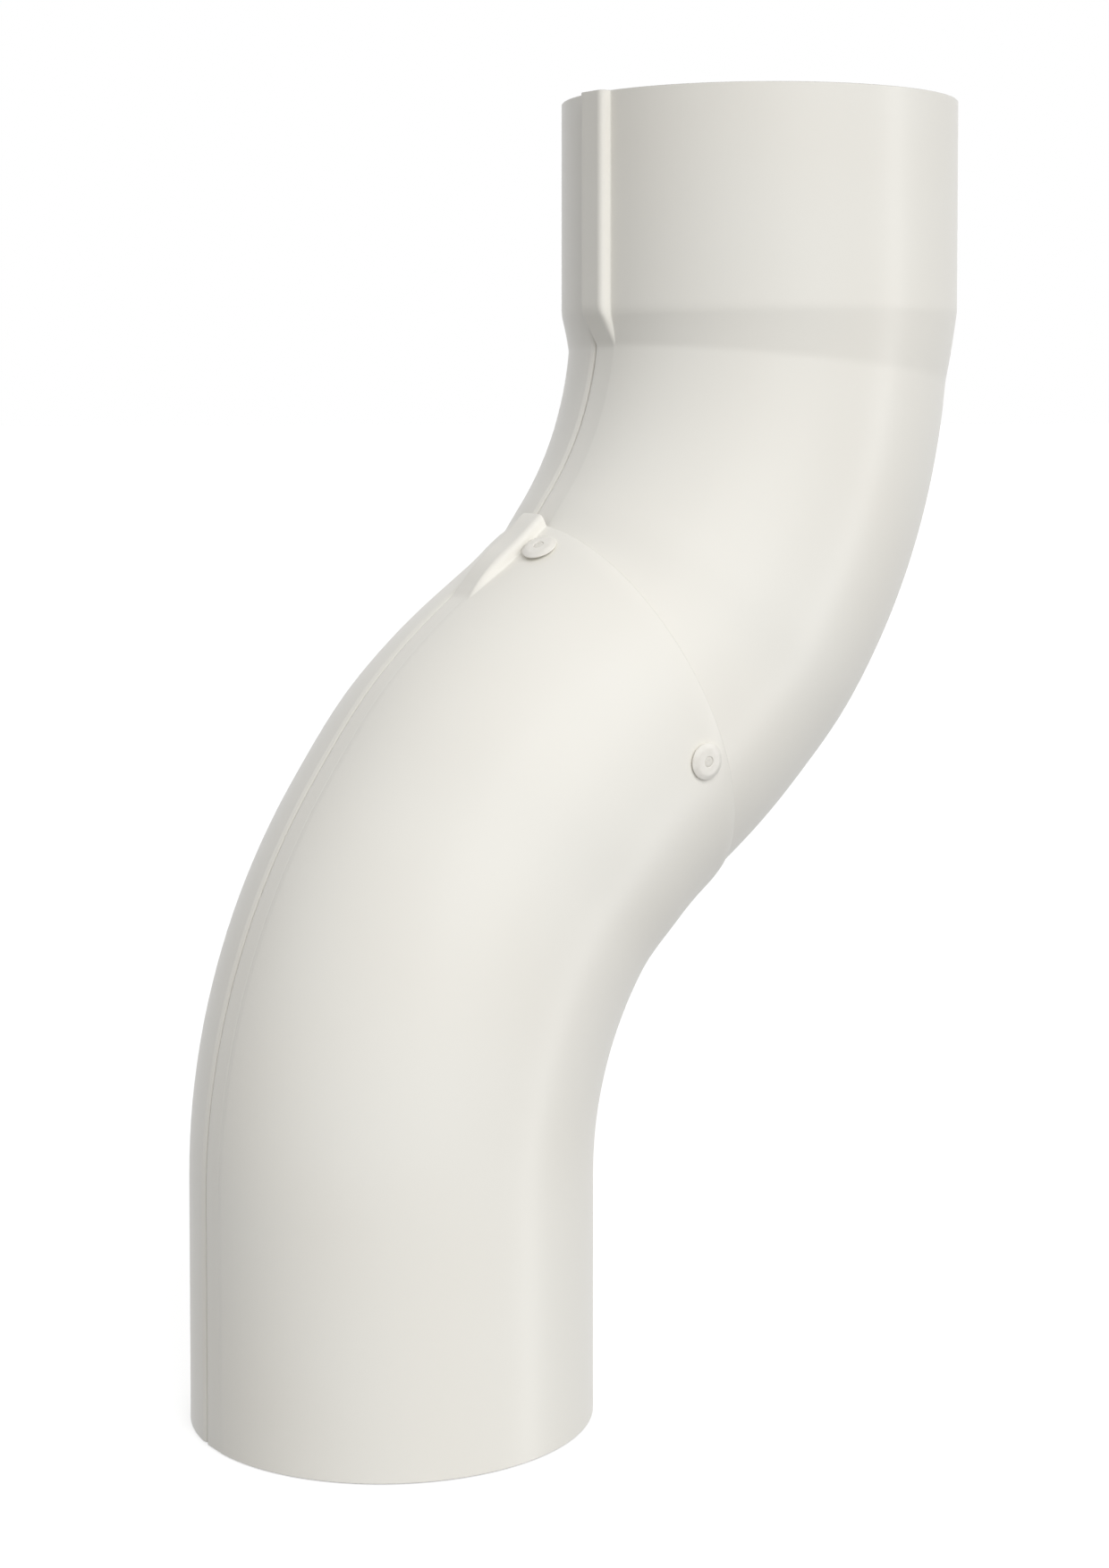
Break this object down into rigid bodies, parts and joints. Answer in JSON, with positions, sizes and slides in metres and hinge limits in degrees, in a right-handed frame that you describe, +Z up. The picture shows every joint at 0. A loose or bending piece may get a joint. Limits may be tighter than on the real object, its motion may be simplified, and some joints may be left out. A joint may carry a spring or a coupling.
{
  "type": "downpipe offset bend",
  "caption": "Round steel downpipe offset bend: two lock-seamed sheet bends lapped and blind riveted into an S, with a socket on top and a plain spigot below",
  "frame": {"origin": "centre of the bottom rim of the spigot", "axes": "+Z up along the spigot to the socket, +X from the spigot towards the offset socket, the bends lie in the XZ plane, the seam is on the -X side"},
  "size_m": [0.1889, 0.0918, 0.2872],
  "materials": {
    "coated_steel": "smooth satin coil coating, off-white",
    "painted_rivet": "aluminium blind rivet, head painted to match",
    "mandrel_steel": "zinc plated steel wire with a rough broken end"
  },
  "bodies": {
    "root": {"lower_bend": "coated_steel", "upper_bend": "coated_steel", "rivet_1": "painted_rivet", "rivet_2": "painted_rivet", "rivet_3": "painted_rivet", "rivet_4": "painted_rivet", "rivet_mandrel_1": "mandrel_steel", "rivet_mandrel_2": "mandrel_steel", "rivet_mandrel_3": "mandrel_steel", "rivet_mandrel_4": "mandrel_steel"}
  },
  "joints": []
}
